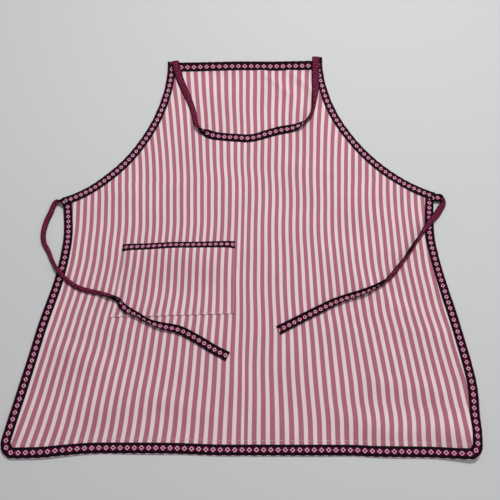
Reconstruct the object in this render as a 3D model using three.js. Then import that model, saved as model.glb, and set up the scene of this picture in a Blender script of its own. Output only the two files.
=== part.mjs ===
// A striped cotton bib apron edged with woven ribbon, with a ribbon neck strap, two ribbon waist ties and a patch
// pocket. It lies flat and face up. +X is to the viewer's right, +Y runs from the hem to the bib and +Z is up.
// The origin is on the surface under the apron, at the middle of its outline. All sizes are in millimetres.
import * as THREE from "three";

// The cloth's cut, as it lies
const apronLength = 734; // hem to the higher corner of the bib
const hemWidth = 726;
const bibWidth = 304;
const bibShift = 4; // the bib lies this far to the right of the skirt's middle
const bibRise = 11; // the bib's right corner lies this much higher than its left
const waistHeight = 425; // hem to the left waist corner
const waistRise = 10; // the right waist corner lies this much higher
const hemCornerRadius = 21;
// How far each side is drawn in from the hem's full width, at shares of the waist's height
const drawnInLeft = [[0, 0], [0.24, 17], [0.45, 32], [0.65, 49], [0.82, 53], [1, 42]];
const drawnInRight = [[0, 4], [0.22, 0], [0.43, 11], [0.66, 27], [0.81, 32], [1, 22]];
const armholeFall = 2.2; // how late the armhole leaves the bib's side
const armholeSweep = 0.7; // how flat it runs into the waist corner

// Ribbon, thread and layers
const ribbonWidth = 15;
const ribbonThick = 0.7;
const clothThick = 0.6;
const threadWide = 0.5;
const threadThick = 0.3;
const layerGap = 0.3;
const clothShowing = 1.2; // cloth left outside the ribbon's outer edge
const seamInset = 1.6; // ribbon's edge to its stitch line
const tieRunOnLeft = 5; // the armhole ribbon runs this far past the waist corner to its fold
const tieRunOnRight = 16;
const foldDrop = 0.25; // and this share of that run lower than the corner
const sideTrimGap = 3; // the side ribbon stops this far below the armhole ribbon's end
const trimEndGap = 1; // the bib's trim stops this far short of the armhole ribbons
const hemStitchGap = 5.5; // ribbon's inner edge to the stitch line of the turned-up hem
const hemStitchClear = 2; // and the line's ends to the side ribbons

// The pocket: it is narrower at its mouth, which gapes
const pocketFromCentre = 13.5;
const pocketAboveHem = 209;
const pocketWidth = 202;
const pocketDepth = 126;
const pocketMouthDraw = 10; // the mouth's left end is drawn in by this much
const pocketSlope = 6; // its right side lies this much higher
const pocketGape = 11; // how far the middle of the mouth stands off the apron
const pocketFlatShare = 0.25; // the share of the depth, from the bottom, that lies flat
const pocketSeamInset = 2.2;
const pocketSeamClear = 1.3; // the seam's upper ends stop this far below the ribbon

const bandThick = 0.8; // the free ribbon's thickness, for the strap and ties
const endHem = 8; // a tie's cut end to the stitches of its hem

// Routes of the free ribbons, down the middle of each, as it lies: x and y from the corner where it leaves the
// apron. The neck strap's are from the middle of the bib, at its left corner's height.
const neckStrapRoute = [
  [-137, 0.5], [-132, -24], [-123, -52.5], [-110, -85], [-97, -119], [-89, -146], [-80, -160.5], [-65, -169],
  [-38, -172], [-16, -172.5], [7, -173], [25, -169.5], [43, -163.5], [64, -157], [85, -151.5], [104, -144.5],
  [118.5, -134.5], [128, -121], [133, -106], [135, -88], [136, -68], [137, -43], [138, -17], [139, 10],
];
const leftTieRoute = [
  [0, -6], [-10, -25], [-17.5, -46], [-20.5, -67], [-16, -85], [-7, -100], [5, -121], [19, -139], [36, -155],
  [55, -166], [74, -171], [92, -174], [108, -178], [124, -186], [139, -200], [156, -212], [173, -222],
  [191, -229], [224, -236], [255, -252], [280, -267], [302, -278],
];
const rightTieRoute = [
  [-4, -11], [-8.5, -25], [-19, -41.5], [-35, -60.5], [-46, -76], [-58, -92], [-71.5, -110], [-85, -128],
  [-97, -142.5], [-110, -156.5], [-124.5, -167.5], [-140, -175.5], [-158, -182], [-187, -190.5], [-209, -198.5],
  [-232, -209.5], [-257.5, -222], [-300, -243.5],
];

// Finishes
const cotton = { color: 0xd6a6ae, roughness: 0.9, metalness: 0 };
const wovenRibbon = { color: 0x4a1230, roughness: 0.7, metalness: 0 };
const darkThread = { color: 0x1b1330, roughness: 0.6, metalness: 0 };
const paleThread = { color: 0xe6d9dc, roughness: 0.7, metalness: 0 };

// How finely curves are drawn
const sideSteps = 24;
const armholeSteps = 36;
const cornerSteps = 8;
const pocketSteps = { across: 24, up: 14, seam: 8 };
const bandSteps = { strap: 56, leftTie: 50, rightTie: 44 };

// Worked out from the above
const middleY = apronLength / 2; // the outline's middle, above the hem
const halfHem = hemWidth / 2;
const ribbonLow = clothThick + layerGap;
const onRibbon = ribbonLow + ribbonThick + layerGap;
const bandLow = onRibbon + threadThick + layerGap; // the free ribbons lie over the sewn ones and their stitches
const apron = new THREE.Group();
const at = (x, y) => new THREE.Vector2(x, y - middleY);
const lerp = THREE.MathUtils.lerp;
const shares = (from, to, steps) => Array.from({ length: steps + 1 }, (_, i) => lerp(from, to, i / steps));

function addPiece(name, geometry, finish) {
  const mesh = new THREE.Mesh(geometry, new THREE.MeshStandardMaterial(finish));
  mesh.name = name;
  apron.add(mesh);
}

// A closed solid between two grids of points with the same rows and columns, one above the other.
function plate(lower, upper) {
  const rows = lower.length;
  const columns = lower[0].length;
  const count = rows * columns;
  const positions = [...lower.flat(), ...upper.flat()].flatMap((p) => [p.x, p.y, p.z]);
  const faces = [];
  const quad = (a, b, c, d) => faces.push(a, b, c, a, c, d);
  const index = (row, column) => row * columns + column;
  for (let r = 0; r + 1 < rows; r++)
    for (let c = 0; c + 1 < columns; c++) {
      const [a, b, d, e] = [index(r, c), index(r + 1, c), index(r + 1, c + 1), index(r, c + 1)];
      quad(a, b, d, e);
      quad(count + e, count + d, count + b, count + a);
    }
  for (let r = 0; r + 1 < rows; r++) {
    const [a, b] = [index(r, 0), index(r + 1, 0)];
    const [d, e] = [index(r, columns - 1), index(r + 1, columns - 1)];
    quad(b, a, count + a, count + b);
    quad(d, e, count + e, count + d);
  }
  for (let c = 0; c + 1 < columns; c++) {
    const [a, b] = [index(0, c), index(0, c + 1)];
    const [d, e] = [index(rows - 1, c), index(rows - 1, c + 1)];
    quad(a, b, count + b, count + a);
    quad(e, d, count + d, count + e);
  }
  // The grid may run either way round, so the faces are turned out if they come out facing in.
  const corner = (k) => new THREE.Vector3(...positions.slice(3 * k, 3 * k + 3));
  let volume = 0;
  for (let k = 0; k < faces.length; k += 3)
    volume += corner(faces[k]).dot(corner(faces[k + 1]).cross(corner(faces[k + 2])));
  if (volume < 0) faces.reverse();
  const geometry = new THREE.BufferGeometry();
  geometry.setAttribute("position", new THREE.Float32BufferAttribute(positions, 3));
  geometry.setIndex(faces);
  return geometry;
}

// The directions to the left of a plan line at each of its points. An end may be cut along a slant instead.
function crossLines(line, startSlant, endSlant) {
  return line.map((p, i) => {
    const ahead = line[Math.min(i + 1, line.length - 1)];
    const behind = line[Math.max(i - 1, 0)];
    const square = new THREE.Vector2(behind.y - ahead.y, ahead.x - behind.x).normalize();
    const slant = (i === 0 && startSlant) || (i === line.length - 1 && endSlant);
    return slant ? slant.clone().multiplyScalar(1 / slant.dot(square)) : square;
  });
}

// A flat strip along a plan line, between two offsets to the line's left. height(point) gives its underside.
function strip(line, near, far, height, thick, startSlant, endSlant) {
  const across = crossLines(line, startSlant, endSlant);
  const offset = (p, i, by) => {
    const q = new THREE.Vector2(p.x, p.y).addScaledVector(across[i], by);
    return new THREE.Vector3(q.x, q.y, height(p));
  };
  const lower = line.map((p, i) => [offset(p, i, near), offset(p, i, far)]);
  const upper = lower.map((row) => row.map((p) => p.clone().setZ(p.z + thick)));
  return plate(lower, upper);
}

const flatAt = (z) => () => z;
const ribbonAlong = (line, startSlant, endSlant) =>
  strip(line, clothShowing, clothShowing + ribbonWidth, flatAt(ribbonLow), ribbonThick, startSlant, endSlant);
const threadAlong = (line, middle, height, startSlant, endSlant) =>
  strip(line, middle - threadWide / 2, middle + threadWide / 2, height, threadThick, startSlant, endSlant);

// One side of the skirt, from the hem's corner to the waist corner.
function skirtSide(side, drawnIn, height) {
  const points = drawnIn.map(([share, inset]) => at(side * (halfHem - inset), lerp(hemCornerRadius, height, share)));
  return new THREE.SplineCurve(points).getSpacedPoints(sideSteps);
}

// One armhole, from the bib's corner out to its fold beyond the waist corner.
function armhole(side, bibY, height, drawnIn, runOn) {
  const bibX = side * (bibWidth / 2) + bibShift;
  const foldX = side * (halfHem - drawnIn.at(-1)[1] + runOn);
  const foldY = height - foldDrop * runOn;
  return shares(0, 1, armholeSteps).map((share) => {
    const fall = Math.sin((share * Math.PI) / 2);
    const sweep = 1 - (1 - fall ** armholeFall) ** armholeSweep;
    return at(lerp(bibX, foldX, sweep), lerp(bibY, foldY, fall));
  });
}

// The rounded corner of the hem, from the side round to the hem itself.
function hemCorner(side, inset) {
  const centre = at(side * (halfHem - inset - hemCornerRadius), hemCornerRadius);
  return shares(0, Math.PI / 2, cornerSteps).map((turn) => {
    const x = centre.x + side * hemCornerRadius * Math.cos(turn);
    return new THREE.Vector2(x, centre.y - hemCornerRadius * Math.sin(turn));
  });
}

const leftBibY = apronLength - bibRise;
const rightBibY = apronLength;
const leftWaistY = waistHeight;
const rightWaistY = waistHeight + waistRise;
const leftSide = skirtSide(-1, drawnInLeft, leftWaistY);
const rightSide = skirtSide(1, drawnInRight, rightWaistY);
const leftArmhole = armhole(-1, leftBibY, leftWaistY, drawnInLeft, tieRunOnLeft);
const rightArmhole = armhole(1, rightBibY, rightWaistY, drawnInRight, tieRunOnRight);
const leftCorner = hemCorner(-1, drawnInLeft[0][1]);
const rightCorner = hemCorner(1, drawnInRight[0][1]);

// The cloth stops at the waist corners, where the armhole ribbon runs on past it.
const onCloth = (line, x) => line.filter((p) => Math.abs(p.x) < Math.abs(x) - 1);

function frontPanel() {
  const outline = [
    ...[...leftCorner].reverse(),
    ...leftSide.slice(1),
    ...onCloth(leftArmhole, leftSide.at(-1).x).reverse(),
    ...onCloth(rightArmhole, rightSide.at(-1).x),
    ...[...rightSide].reverse(),
    ...rightCorner.slice(1),
  ];
  const shape = new THREE.Shape(outline);
  addPiece("front_panel", new THREE.ExtrudeGeometry(shape, { depth: clothThick, bevelEnabled: false }), cotton);
}

// The bib's top edge, in which the armhole ribbons fold back as the neck strap.
const bibTop = new THREE.Vector2(bibWidth, bibRise).normalize();

function armholeTrims() {
  const seams = { outer: clothShowing + seamInset, inner: clothShowing + ribbonWidth - seamInset };
  for (const [side, line] of [["left", leftArmhole], ["right", rightArmhole]]) {
    const way = side === "left" ? line : [...line].reverse(); // the cloth is then to the line's left
    const slants = side === "left" ? [bibTop] : [undefined, bibTop];
    addPiece("armhole_trim_" + side, ribbonAlong(way, ...slants), wovenRibbon);
    for (const [seam, inset] of Object.entries(seams))
      addPiece(`armhole_stitch_${side}_${seam}`, threadAlong(way, inset, flatAt(onRibbon), ...slants), darkThread);
  }
}

function bibTopTrim() {
  const clear = clothShowing + ribbonWidth + layerGap + trimEndGap;
  const along = (x) => at(x, leftBibY + (bibRise * (x - bibShift + bibWidth / 2)) / bibWidth);
  const line = [along(bibShift + bibWidth / 2 - clear), along(bibShift - bibWidth / 2 + clear)];
  addPiece("bib_top_trim", ribbonAlong(line), wovenRibbon);
  addPiece("bib_trim_stitch_upper", threadAlong(line, clothShowing + seamInset, flatAt(onRibbon)), darkThread);
  const lower = clothShowing + ribbonWidth - seamInset;
  addPiece("bib_trim_stitch_lower", threadAlong(line, lower, flatAt(onRibbon)), darkThread);
}

// The part of a side that lies below a height above the hem.
function sideBelow(line, height) {
  const top = height - middleY;
  const above = line.findIndex((p) => p.y > top);
  const [a, b] = [line[above - 1], line[above]];
  return [...line.slice(0, above), a.clone().lerp(b, (top - a.y) / (b.y - a.y))];
}

// One ribbon runs down the left side, along the hem and up the right side, and stops below the armhole ribbons.
function sideAndHemTrim() {
  const room = clothShowing + ribbonWidth + sideTrimGap;
  const line = [
    ...sideBelow(leftSide, leftWaistY - room).reverse(),
    ...leftCorner.slice(1),
    ...[...rightCorner].reverse(),
    ...sideBelow(rightSide, rightWaistY - room).slice(1),
  ];
  addPiece("side_and_hem_trim", ribbonAlong(line), wovenRibbon);
  addPiece("side_hem_stitch_outer", threadAlong(line, clothShowing + seamInset, flatAt(onRibbon)), darkThread);
  const inner = clothShowing + ribbonWidth - seamInset;
  addPiece("side_hem_stitch_inner", threadAlong(line, inner, flatAt(onRibbon)), darkThread);
}

// The pale stitch line that holds the turned-up hem, just above the hem ribbon, from one side ribbon to the other.
function hemTopStitch() {
  const height = clothShowing + ribbonWidth + hemStitchGap;
  const inside = clothShowing + ribbonWidth + hemStitchClear;
  const left = sideBelow([...leftCorner].reverse().concat(leftSide.slice(1)), height).at(-1).x + inside;
  const right = sideBelow([...rightCorner].reverse().concat(rightSide.slice(1)), height).at(-1).x - inside;
  const line = [at(left, height), at(right, height)];
  addPiece("hem_top_stitch", threadAlong(line, 0, flatAt(clothThick + layerGap)), paleThread);
}

// A place on the pocket, from its bottom left corner: across and up are shares of its width and depth.
function pocketPlace(across, up) {
  const right = -pocketFromCentre;
  const left = lerp(right - pocketWidth, right - pocketWidth + pocketMouthDraw, up);
  const y = pocketAboveHem + pocketDepth * up + pocketSlope * across;
  return at(lerp(left, right, across), y);
}

// How far the pocket's cloth stands off the apron there.
function pocketLift(across, up) {
  const rise = THREE.MathUtils.smoothstep(up, pocketFlatShare, 1);
  return pocketGape * Math.sin(Math.PI * across) * rise;
}

// A piece of the pocket, between two shares each way, over the apron's cloth and so much above it.
function pocketPlate(acrosses, ups, above, thick) {
  const point = (across, up, z) => {
    const p = pocketPlace(across, up);
    return new THREE.Vector3(p.x, p.y, z + pocketLift(across, up));
  };
  const grid = (z) => ups.map((up) => acrosses.map((across) => point(across, up, z)));
  return plate(grid(above), grid(above + thick));
}

function pocket() {
  const panelLow = clothThick + layerGap;
  const onPanel = panelLow + clothThick + layerGap;
  const onTrim = onPanel + ribbonThick + layerGap;
  const trimShare = ribbonWidth / pocketDepth;
  const threadShare = threadWide / pocketDepth;
  const across = shares(0, 1, pocketSteps.across);
  addPiece("pocket_panel", pocketPlate(across, shares(0, 1, pocketSteps.up), panelLow, clothThick), cotton);
  addPiece("pocket_trim", pocketPlate(across, shares(1 - trimShare, 1, 2), onPanel, ribbonThick), wovenRibbon);
  for (const [name, fromMouth] of [["upper", seamInset], ["lower", ribbonWidth - seamInset]]) {
    const up = 1 - fromMouth / pocketDepth;
    const rows = [up - threadShare / 2, up + threadShare / 2];
    addPiece("pocket_trim_stitch_" + name, pocketPlate(across, rows, onTrim, threadThick), darkThread);
  }
  const sideShare = pocketSeamInset / pocketWidth;
  const bottomShare = pocketSeamInset / pocketDepth;
  const top = 1 - trimShare - pocketSeamClear / pocketDepth;
  const seamLine = [
    ...shares(top, bottomShare, pocketSteps.seam).map((up) => [sideShare, up]),
    ...shares(sideShare, 1 - sideShare, pocketSteps.seam).slice(1).map((along) => [along, bottomShare]),
    ...shares(bottomShare, top, pocketSteps.seam).slice(1).map((up) => [1 - sideShare, up]),
  ];
  const lifted = seamLine.map(([along, up]) => {
    const p = pocketPlace(along, up);
    return new THREE.Vector3(p.x, p.y, onPanel + pocketLift(along, up));
  });
  addPiece("pocket_seam", threadAlong(lifted, 0, (p) => p.z), paleThread);
}

// A free ribbon on a smooth line through its route's points, which are measured from a corner.
function freeRibbon(name, route, corner, steps, startSlant, endSlant) {
  const points = route.map(([x, y]) => new THREE.Vector2(corner.x + x, corner.y + y));
  const line = new THREE.SplineCurve(points).getSpacedPoints(steps);
  const half = ribbonWidth / 2;
  addPiece(name, strip(line, -half, half, flatAt(bandLow), bandThick, startSlant, endSlant), wovenRibbon);
  return line;
}

// The stitches across a tie's end, where the ribbon is turned under.
function tieEndStitch(name, line) {
  const [before, end] = line.slice(-2);
  const back = before.clone().sub(end).normalize();
  const middle = end.clone().addScaledVector(back, endHem);
  const across = new THREE.Vector2(-back.y, back.x);
  const half = ribbonWidth / 2 - seamInset;
  const ends = [-half, half].map((by) => middle.clone().addScaledVector(across, by));
  addPiece(name, threadAlong(ends, 0, flatAt(bandLow + bandThick + layerGap)), darkThread);
}

frontPanel();
armholeTrims();
bibTopTrim();
sideAndHemTrim();
hemTopStitch();
pocket();
freeRibbon("neck_strap", neckStrapRoute, at(bibShift, leftBibY), bandSteps.strap, bibTop, bibTop);
const leftTieLine = freeRibbon("tie_left", leftTieRoute, leftArmhole.at(-1), bandSteps.leftTie);
tieEndStitch("tie_end_stitch_left", leftTieLine);
const rightTieLine = freeRibbon("tie_right", rightTieRoute, rightArmhole.at(-1), bandSteps.rightTie);
tieEndStitch("tie_end_stitch_right", rightTieLine);

export default apron;
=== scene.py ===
# A butcher's bib apron of striped cotton, edged all round with woven ribbon, lying flat and face up.
# Sizes are in millimetres, x from the apron's middle and y above its hem, until to_frame() turns them into
# the frame's metres.
import math

import bpy
import numpy as np
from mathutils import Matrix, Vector
from mathutils.bvhtree import BVHTree
from mathutils.geometry import delaunay_2d_cdt


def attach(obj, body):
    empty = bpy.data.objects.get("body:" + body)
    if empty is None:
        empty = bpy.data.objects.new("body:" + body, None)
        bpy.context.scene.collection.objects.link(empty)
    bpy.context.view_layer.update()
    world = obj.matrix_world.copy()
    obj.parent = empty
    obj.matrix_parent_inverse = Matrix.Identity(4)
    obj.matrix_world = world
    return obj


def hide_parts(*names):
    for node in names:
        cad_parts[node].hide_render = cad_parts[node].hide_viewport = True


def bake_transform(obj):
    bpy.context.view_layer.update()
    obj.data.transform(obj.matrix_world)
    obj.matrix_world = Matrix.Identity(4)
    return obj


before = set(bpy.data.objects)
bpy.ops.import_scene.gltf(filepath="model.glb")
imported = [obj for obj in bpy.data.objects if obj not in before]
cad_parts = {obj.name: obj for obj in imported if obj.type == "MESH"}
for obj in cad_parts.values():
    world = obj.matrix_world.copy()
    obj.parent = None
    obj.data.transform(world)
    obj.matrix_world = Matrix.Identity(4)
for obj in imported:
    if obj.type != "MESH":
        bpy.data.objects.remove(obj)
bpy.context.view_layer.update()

# The cut of the cloth, as it lies
LENGTH = 734
HEM_WIDTH = 726
BIB_WIDTH = 304
BIB_SHIFT = 4
BIB_RISE = 11
BIB_SINK = 10  # the bib's corners lie this much lower than they are cut
BIB_HANG_RIGHT = 6.5
WAIST_LEFT = 425
WAIST_RIGHT = 435
CORNER_RADIUS = 21
DRAWN_IN_LEFT = [(0, 0), (0.24, 17), (0.45, 32), (0.65, 49), (0.82, 53), (1, 42)]
DRAWN_IN_RIGHT = [(0, 7), (0.1, 1.5), (0.22, -1), (0.43, 11), (0.66, 27), (0.81, 32), (1, 22)]
ARMHOLE_FALL = 2.2
ARMHOLE_SWEEP = 0.7
RUN_ON_LEFT = 5
RUN_ON_RIGHT = 16
MIDDLE = LENGTH / 2
# How the hem's line wanders: x and y, between its two corners
HEM_LINE = [
    (-300, -3), (-267, 0), (-228, 2.6), (-168, 2.9), (-109, 2.6), (-73, 1.4),
    (-34, 0.2), (60, 0), (159, -0.3), (198, -1.8), (275, -2.8), (310, -4.2),
]
HEM_LOW_LEFT = -4
HEM_LOW_RIGHT = -5

# Cloth, ribbon and thread
CLOTH_THICK = 0.6
RIBBON_WIDTH = 15
RIBBON_THICK = 0.7
CLOTH_SHOWING = 0.9
SEAM_INSET = 1.6
SIDE_TRIM_TUCK = 5
TRIM_END_GAP = 1
TIE_TAKES_OVER_LEFT = 2  # points of the armhole's line that the tie's own start covers
TIE_TAKES_OVER_RIGHT = 6
STITCH_LENGTH = 3.0
STITCH_PITCH = 3.9
THREAD_WIDE = 0.5
STRIPE_REPEAT = 13.0
HEM_SEAM_ABOVE = 5.5  # how far the hem's own seam is above the hem's ribbon
HEM_SEAM_ENDS = (-342, 339)
WAIST_LAP_FROM = 46  # the armholes' ribbons rise over the side ribbon this far from the waist corners
WAIST_LAP_EASE = 16

# The pocket
POCKET_RIGHT = -13.5
POCKET_LOW = 209
POCKET_WIDTH = 202
POCKET_DEPTH = 126
POCKET_DRAW = 10
POCKET_SLOPE = 6
POCKET_TRIM_SEEN = 12.6  # its ribbon leans back, so it covers less than its width

# How finely the meshes are drawn
CLOTH_STEP = 4.2
LINE_STEP = 2.5

# The free ribbons: x and y from the corner where each leaves the apron, then two angles in degrees. The first
# is the turn about its own line, where 0 is face up and 180 is reverse up. The second is how far it curls
# across its width: edges towards the face when below 0, away from it when above.
NECK_STRAP = [
    (-137.4, -7.6, 180, -40), (-137, -9.5, 180, -40), (-132, -28, 180, -50), (-123, -53.5, 180, -85),
    (-110, -85, 180, -125), (-97, -119, 172, -175), (-89, -146, 136, -200), (-80, -160.5, 84, -150),
    (-65, -170, 22, -40), (-38, -174.5, 10, 0), (-16, -176, 10, 10), (7, -177, 10, 0),
    (25, -173.5, 4, -20), (43, -168, 16, 10), (64, -161.5, 20, 0), (85, -156, 10, -40),
    (104, -149.5, -30, -70), (118.5, -140, -80, -150), (128, -126, -96, -190), (133, -110, -112, -195),
    (135, -90, -148, -150), (136, -68, -170, -90), (137, -43, -178, -50), (138, -19, -180, -35),
    (139, 1, -180, -35), (139.1, 2.8, -180, -35),
]
LEFT_TIE = [
    (12, -9.5, 0, -60), (4, -10.5, 60, -190), (-4, -15, 130, -215), (-10, -27, 168, -205),
    (-17, -46, 180, -195), (-19.5, -67, 182, -205), (-15.5, -85, 180, -225), (-6.5, -100, 184, -245),
    (5, -121, 178, -280), (19, -139, 180, -285), (36, -155, 182, -250), (55, -166, 178, -235),
    (74, -171, 172, -240), (92, -173.5, 145, -255), (108, -177.5, 92, -250), (122, -185, 30, -225),
    (134, -201, 0, -150), (154, -213, -26, -215), (172, -223.5, -32, -220), (191, -229, -12, -165),
    (224, -236, 2, -105), (255, -252, 0, -85), (280, -267, 0, -60), (302, -278, 0, -45),
]
RIGHT_TIE = [
    (-22, -8.5, 0, 0), (-13, -8, 6, -30), (-5, -10, 44, -150), (-1, -14.5, 100, -200),
    (-2.5, -21, 150, -170), (-9, -28, 172, -145), (-19, -41.5, 174, -150), (-35, -60.5, 152, -195),
    (-46, -76, 104, -220), (-58, -92, 88, -200), (-71.5, -110, 80, -175), (-85, -128, 96, -200),
    (-97, -142.5, 124, -230), (-110, -156.5, 112, -230), (-124.5, -167.5, 62, -205), (-140, -175.5, 38, -190),
    (-158, -182, 24, -170), (-187, -190.5, 14, -155), (-209, -198.5, 4, -130), (-232, -209.5, 0, -110),
    (-257.5, -222, 0, -100), (-300, -243.5, 0, -50),
]


def lerp(a, b, t):
    return a + (b - a) * t


def smooth(t):
    t = np.clip(t, 0, 1)
    return t * t * (3 - 2 * t)


def to_frame(points):
    """Millimetres, with y above the hem, to the frame's metres."""
    return (np.asarray(points, float) - (0, MIDDLE, 0)) * 0.001


def lengths(line):
    """How far along the line each of its points is."""
    return np.concatenate([[0], np.cumsum(np.linalg.norm(np.diff(line[:, :2], axis=0), axis=1))])


def evenly(line, step):
    """The line again, with its points a step apart."""
    along = lengths(line)
    places = np.linspace(0, along[-1], max(2, round(along[-1] / step) + 1))
    return np.column_stack([np.interp(places, along, column) for column in line.T])


def through(points, step=LINE_STEP):
    """A smooth line through points."""
    p = np.array(points, float)
    p = np.vstack([p[:1], p, p[-1:]])
    t = np.linspace(0, 1, 16, endpoint=False)[:, None]
    spans = []
    for a, b, c, d in zip(p, p[1:], p[2:], p[3:]):
        leave, arrive = (c - a) / 2, (d - b) / 2
        cubic, square = 2 * (b - c) + leave + arrive, 3 * (c - b) - 2 * leave - arrive
        spans.append(cubic * t**3 + square * t**2 + leave * t + b)
    return evenly(np.vstack([*spans, p[-1:]]), step)


def left_of(line):
    """The directions to the left of a line in plan, at each of its points."""
    way = np.gradient(line[:, :2], axis=0)
    across = np.column_stack([-way[:, 1], way[:, 0]])
    return across / np.linalg.norm(across, axis=1)[:, None]


# ---- The cut

def skirt_side(side, drawn_in, height):
    points = []
    for share, inset in drawn_in:
        points.append((side * (HEM_WIDTH / 2 - inset), lerp(CORNER_RADIUS, height, share)))
    return through(points)


def armhole(side, bib_y, height, drawn_in, run_on):
    bib_x = side * BIB_WIDTH / 2 + BIB_SHIFT
    fold_x = side * (HEM_WIDTH / 2 - drawn_in[-1][1] + run_on)
    fall = np.sin(np.linspace(0, math.pi / 2, 200))
    sweep = 1 - (1 - fall**ARMHOLE_FALL) ** ARMHOLE_SWEEP
    line = np.column_stack([lerp(bib_x, fold_x, sweep), lerp(bib_y, height - run_on / 4, fall)])
    return evenly(line, LINE_STEP)


def hem_corner(side, inset, low):
    turn = np.linspace(0, math.pi / 2, 14)
    x = side * (HEM_WIDTH / 2 - inset - CORNER_RADIUS * (1 - np.cos(turn)))
    return np.column_stack([x, lerp(CORNER_RADIUS, low, np.sin(turn))])


def below(line, height):
    """The part of a line, which runs upwards, that lies below a height."""
    keep = line[line[:, 1] < height]
    after = line[len(keep)]
    share = (height - keep[-1, 1]) / (after[1] - keep[-1, 1])
    return np.vstack([keep, lerp(keep[-1], after, share)])


LEFT_BIB = LENGTH - BIB_RISE
LEFT_SIDE = skirt_side(-1, DRAWN_IN_LEFT, WAIST_LEFT)
RIGHT_SIDE = skirt_side(1, DRAWN_IN_RIGHT, WAIST_RIGHT)
LEFT_ARMHOLE = armhole(-1, LEFT_BIB, WAIST_LEFT, DRAWN_IN_LEFT, RUN_ON_LEFT)
RIGHT_ARMHOLE = armhole(1, LENGTH, WAIST_RIGHT, DRAWN_IN_RIGHT, RUN_ON_RIGHT)
LEFT_ARMHOLE = below(LEFT_ARMHOLE[::-1], LEFT_BIB - BIB_SINK)[::-1]
RIGHT_ARMHOLE = below(RIGHT_ARMHOLE[::-1], LENGTH - BIB_SINK)[::-1]
LEFT_CORNER = hem_corner(-1, DRAWN_IN_LEFT[0][1], HEM_LOW_LEFT)
RIGHT_CORNER = hem_corner(1, DRAWN_IN_RIGHT[0][1], HEM_LOW_RIGHT)
HEM = through([LEFT_CORNER[-1], *HEM_LINE, RIGHT_CORNER[-1]])


def bib_top(x):
    """The bib's top edge, which hangs a little between its two corners."""
    share = (np.asarray(x, float) - BIB_SHIFT + BIB_WIDTH / 2) / BIB_WIDTH
    hang = BIB_SINK + BIB_HANG_RIGHT * share * smooth((1 - share) / 0.07)
    return LEFT_BIB + BIB_RISE * share - hang


def outline():
    """The cloth's edge, once round."""
    left = LEFT_ARMHOLE[LEFT_ARMHOLE[:, 0] > LEFT_SIDE[-1, 0] + 1]
    right = RIGHT_ARMHOLE[RIGHT_ARMHOLE[:, 0] < RIGHT_SIDE[-1, 0] - 1]
    across = np.linspace(left[0, 0], right[0, 0], 120)
    top = np.column_stack([across, bib_top(across)])
    return np.vstack([LEFT_CORNER[::-1][:-1], LEFT_SIDE, left[::-1][:-1], top, right[1:], RIGHT_SIDE[::-1],
                      RIGHT_CORNER[1:-1], HEM[::-1][:-1]])


# ---- How the cloth lies

# Sharp creases where it was pressed in its folds: two ends, the height of the crease and how far it spreads.
PRESSED = [
    ((2, 590), (1, 10), -1.5, 11),
    ((-161, 560), (-149, 350), 1.1, 12),
    ((194, 540), (181, 345), 1.0, 12),
    ((-190, 190), (-204, 18), -1.1, 12),
    ((208, 200), (204, 50), 1.0, 13),
    ((10, 327), (316, 322), 1.2, 12),
    ((-300, 324), (-216, 324), 0.8, 10),
    ((-312, 187), (-185, 187), 1.0, 12),
    ((130, 187), (322, 184), 1.0, 12),
]
# Soft folds and hollows: two ends, the height in the middle and how far it spreads.
SOFT = [
    ((42, 690), (88, 646), 4.6, 8),
    ((96, 692), (138, 650), 4.0, 8),
    ((-70, 706), (20, 690), 1.4, 10),
    ((120, 612), (53, 655), 1.6, 14),
    ((-128, 500), (-30, 520), 1.3, 12),
    ((-120, 470), (-10, 492), -0.8, 14),
    ((60, 500), (170, 470), 1.3, 12),
    ((292, 400), (300, 356), -1.2, 18),
    ((262, 410), (236, 330), 1.8, 20),
    ((205, 262), (262, 222), 2.2, 12),
    ((250, 240), (320, 236), -1.2, 12),
    ((150, 200), (206, 226), 1.7, 8),
    ((-296, 160), (-232, 132), 2.0, 16),
    ((-320, 60), (-120, 78), 2.0, 18),
    ((-160, 96), (-60, 60), 1.6, 14),
    ((150, 80), (330, 58), -1.4, 16),
    ((190, 40), (345, 32), 3.4, 16),
    ((210, 108), (300, 92), 2.0, 14),
    ((332, 26), (354, 2), 8.5, 36),
    ((-344, 26), (-300, 10), 2.4, 30),
    ((-6, 262), (-60, 120), 0.9, 26),
]
BIB_LIFT = 9
BIB_LIFT_REACH = 24


def nearness(x, y, a, b, fade):
    """The distance from the line a-b, and how near the middle stretch of it a place is, from 1 down to 0."""
    ax, ay = a
    way = np.array(b, float) - a
    reach = np.hypot(*way)
    way /= reach
    along = (x - ax) * way[0] + (y - ay) * way[1]
    off = np.abs((y - ay) * way[0] - (x - ax) * way[1])
    beyond = np.maximum(0, np.maximum(-along, along - reach))
    return off, np.exp(-((beyond / fade) ** 2))


def rise(x, y):
    """How high the cloth's upper face lies over the floor, in millimetres."""
    x, y = np.asarray(x, float), np.asarray(y, float)
    height = 0.5 * np.sin(x / 31 + 1.3 * np.sin(y / 67)) * np.sin(y / 43 + 0.7)
    height = height + 0.35 * np.sin((x + y) / 19 + 2)
    for a, b, tall, wide in PRESSED:
        off, near = nearness(x, y, a, b, 2.5 * wide)
        height = height + tall * near * np.exp(-off / wide)
    for a, b, tall, wide in SOFT:
        off, near = nearness(x, y, a, b, 1.6 * wide)
        height = height + tall * near * np.exp(-((off / wide) ** 2))
    off_floor = 1.3 + height
    edge = np.clip(1 - (bib_top(x) - y) / BIB_LIFT_REACH, 0, 1)
    return CLOTH_THICK + 0.15 + 0.5 * (off_floor + np.sqrt(off_floor**2 + 0.4)) + BIB_LIFT * edge**2


def stripe_repeat(y):
    """The width of a pink and a white stripe together. A real cloth's is even; this one varies with the height,
    as it came out when the photograph was measured with the camera assumed here."""
    y = np.asarray(y, float)
    return 11.95 + np.where(y < 365, 1.46e-5, 2.24e-5) * (y - 365) ** 2


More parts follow.
